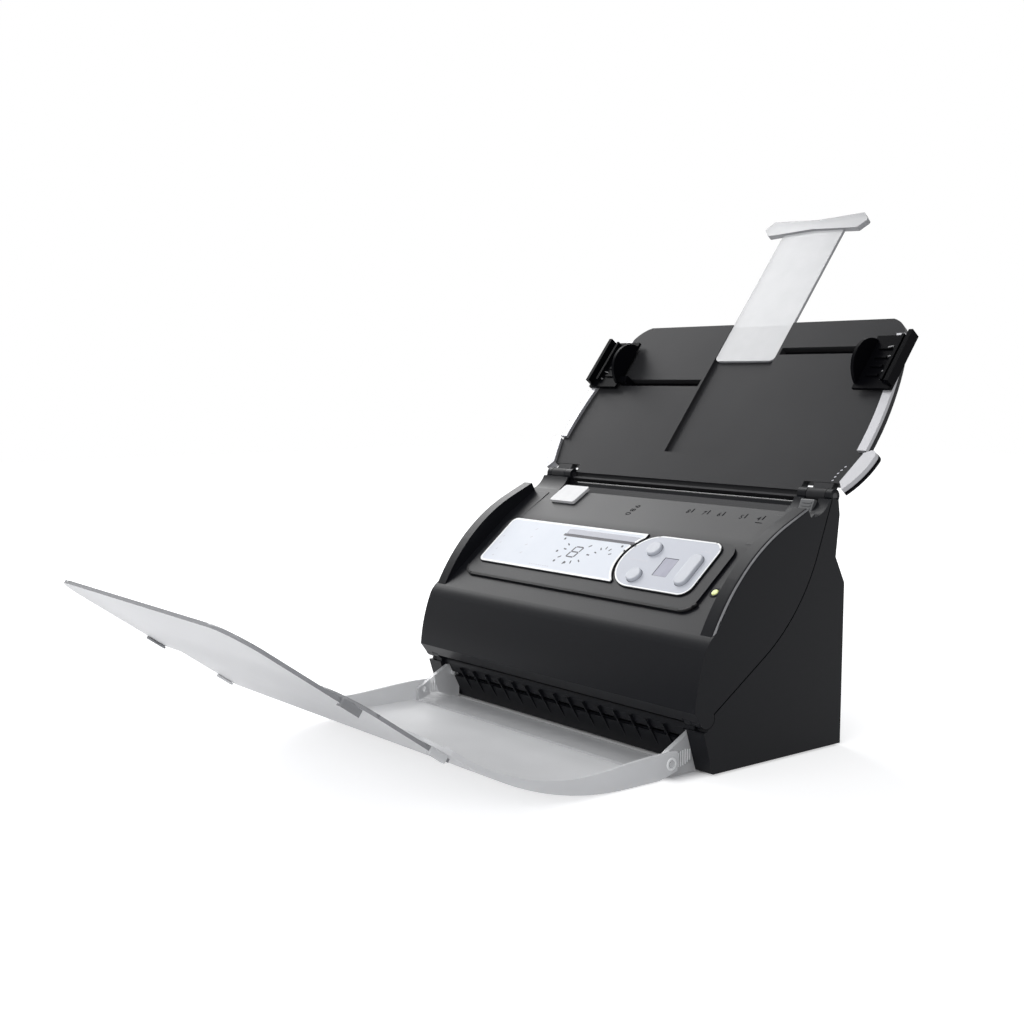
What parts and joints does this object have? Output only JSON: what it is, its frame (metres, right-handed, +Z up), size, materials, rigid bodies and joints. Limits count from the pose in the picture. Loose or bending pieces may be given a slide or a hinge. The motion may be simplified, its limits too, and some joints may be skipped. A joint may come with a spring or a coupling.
{
  "type": "document scanner",
  "caption": "Sheet-fed desktop document scanner with a hinged front cover and control panel, a tilting paper chute with sliding guides and a telescoping output tray.",
  "frame": {"origin": "on the desk, below the middle of the scanner's overall depth with its trays out, on its centre plane", "axes": "+X to the scanner's right, +Y to the rear, +Z up"},
  "size_m": [0.295, 0.523, 0.3336],
  "materials": {
    "black_shell": "satin moulded plastic",
    "dark_guide": "smooth moulded plastic",
    "dark_inner": "plain moulded plastic",
    "rubber": "matt rubber",
    "steel": "plain steel",
    "glass": "clear glass",
    "board": "solder-masked board",
    "clear_plastic": "clear moulded plastic",
    "frosted_tray": "clear grey moulded plastic",
    "white_plastic": "white acetal",
    "panel_silver": "silver-blue printed plate",
    "display": "dark display window",
    "lamp": "yellow-green lens",
    "light_tab": "near-white plastic",
    "key_silver": "silver painted keys",
    "grey_plastic": "mid-grey plastic",
    "smoke_chute": "smoke-dark plastic",
    "silver_trim": "silver painted plastic",
    "black_guide": "black plastic"
  },
  "bodies": {
    "base": {"base_housing": "black_shell", "base_pan": "black_shell", "rubber_feet": "rubber", "pan_screws": "steel", "left_side_frame": "steel", "right_side_frame": "steel", "lower_guide_plate": "dark_guide", "lower_glass": "glass", "lower_scan_unit": "dark_inner", "drive_motor": "steel", "main_board": "board", "power_jack": "dark_inner", "usb_socket": "steel", "cover_hinge_pins": "steel", "chute_hinge_pins": "steel", "tray_mount_pins": "steel", "tray_mount": "clear_plastic", "motor_belt": "rubber", "feed_belt": "rubber", "exit_belt": "rubber"},
    "motor": {"motor_shaft": "steel", "motor_pulley": "white_plastic"},
    "feed_roller": {"feed_roller_shaft": "steel", "feed_roller_tyres": "rubber", "feed_pulley": "white_plastic"},
    "transport_roller": {"transport_roller_shaft": "steel", "transport_roller_tyres": "rubber", "transport_pulley": "white_plastic"},
    "exit_roller": {"exit_roller_shaft": "steel", "exit_roller_tyres": "rubber", "exit_pulley": "white_plastic"},
    "cover": {"front_cover": "black_shell", "label_plate": "panel_silver", "button_plate": "panel_silver", "display_window": "display", "status_lamp": "lamp", "feed_tab": "light_tab", "upper_guide_plate": "dark_guide", "upper_glass": "glass", "upper_scan_unit": "dark_inner", "separation_pad": "rubber", "pad_shoe": "dark_inner", "panel_board": "board"},
    "up_key": {"up_button": "key_silver"},
    "down_key": {"down_button": "key_silver"},
    "scan_key": {"scan_button": "key_silver"},
    "lever": {"release_lever": "grey_plastic"},
    "transport_idler": {"transport_pinch": "white_plastic"},
    "exit_idler": {"exit_pinch": "white_plastic"},
    "chute": {"paper_chute": "smoke_chute", "chute_rails": "silver_trim", "chute_wings": "silver_trim", "rack_cover": "smoke_chute"},
    "right_guide": {"right_paper_guide": "black_guide"},
    "left_guide": {"left_paper_guide": "black_guide"},
    "pinion": {"guide_pinion": "white_plastic"},
    "extension": {"chute_extension": "clear_plastic"},
    "tray": {"output_tray": "frosted_tray"},
    "leaf_1": {"middle_leaf": "frosted_tray"},
    "leaf_2": {"outer_leaf": "frosted_tray"}
  },
  "joints": [
    {"name": "cover_hinge", "type": "hinge", "parent": "base", "child": "cover", "pos_m": [0, 0.01324, 0.0335], "axis": [1, 0, 0], "range_deg": [0, 60]},
    {"name": "chute_hinge", "type": "hinge", "parent": "base", "child": "chute", "pos_m": [0, 0.12024, 0.151], "axis": [1, 0, 0], "range_deg": [0, 75]},
    {"name": "tray_hinge", "type": "hinge", "parent": "base", "child": "tray", "pos_m": [0, -0.00266, 0.0086], "axis": [1, 0, 0], "range_deg": [-75, 0]},
    {"name": "leaf_1_slide", "type": "slide", "parent": "tray", "child": "leaf_1", "axis": [0, -0.8192, 0.5736], "range_m": [-0.042, 0]},
    {"name": "leaf_2_slide", "type": "slide", "parent": "leaf_1", "child": "leaf_2", "axis": [0, -0.8192, 0.5736], "range_m": [-0.05, 0]},
    {"name": "extension_slide", "type": "slide", "parent": "chute", "child": "extension", "axis": [0, 0.6122, 0.7907], "range_m": [-0.074, 0]},
    {"name": "right_guide_slide", "type": "slide", "parent": "chute", "child": "right_guide", "axis": [1, 0, 0], "range_m": [-0.07, 0]},
    {"name": "left_guide_slide", "type": "slide", "parent": "chute", "child": "left_guide", "axis": [1, 0, 0], "range_m": [0, 0.07]},
    {"name": "pinion_spin", "type": "hinge", "parent": "chute", "child": "pinion", "pos_m": [0, 0.17901, 0.22691], "axis": [0, -0.7907, 0.6122], "range_deg": [0, 402.1]},
    {"name": "up_press", "type": "slide", "parent": "cover", "child": "up_key", "axis": [0, 0.6367, -0.7711], "range_m": [0, 0.0012], "stiffness_N_per_m": 300, "springref_m": -0.0006},
    {"name": "down_press", "type": "slide", "parent": "cover", "child": "down_key", "axis": [0, 0.6367, -0.7711], "range_m": [0, 0.0012], "stiffness_N_per_m": 300, "springref_m": -0.0006},
    {"name": "scan_press", "type": "slide", "parent": "cover", "child": "scan_key", "axis": [0, 0.6367, -0.7711], "range_m": [0, 0.0012], "stiffness_N_per_m": 300, "springref_m": -0.0006},
    {"name": "lever_hinge", "type": "hinge", "parent": "cover", "child": "lever", "pos_m": [0, 0.10724, 0.1345], "axis": [1, 0, 0], "range_deg": [0, 12], "stiffness_Nm_per_rad": 0.02, "springref_deg": -11.46},
    {"name": "transport_spin", "type": "hinge", "parent": "base", "child": "transport_roller", "pos_m": [0, 0.08793, 0.07334], "axis": [1, 0, 0], "continuous": true},
    {"name": "feed_spin", "type": "hinge", "parent": "base", "child": "feed_roller", "pos_m": [0, 0.10844, 0.10263], "axis": [1, 0, 0], "continuous": true},
    {"name": "exit_spin", "type": "hinge", "parent": "base", "child": "exit_roller", "pos_m": [0, 0.03084, 0.0325], "axis": [1, 0, 0], "continuous": true},
    {"name": "motor_spin", "type": "hinge", "parent": "base", "child": "motor", "pos_m": [0, 0.10055, 0.05532], "axis": [1, 0, 0], "continuous": true},
    {"name": "transport_idler_spin", "type": "hinge", "parent": "cover", "child": "transport_idler", "pos_m": [0, 0.07653, 0.08398], "axis": [1, 0, 0], "continuous": true},
    {"name": "exit_idler_spin", "type": "hinge", "parent": "cover", "child": "exit_idler", "pos_m": [0, 0.02278, 0.04468], "axis": [1, 0, 0], "continuous": true}
  ],
  "couplings": [
    {"joint": "left_guide_slide", "follows": "right_guide_slide", "ratio": -1},
    {"joint": "pinion_spin", "follows": "right_guide_slide", "rad_per_m": -100},
    {"joint": "feed_spin", "follows": "transport_spin", "ratio": 1},
    {"joint": "exit_spin", "follows": "transport_spin", "ratio": 1},
    {"joint": "motor_spin", "follows": "transport_spin", "ratio": 1},
    {"joint": "transport_idler_spin", "follows": "transport_spin", "ratio": -2},
    {"joint": "exit_idler_spin", "follows": "transport_spin", "ratio": -1.8}
  ]
}
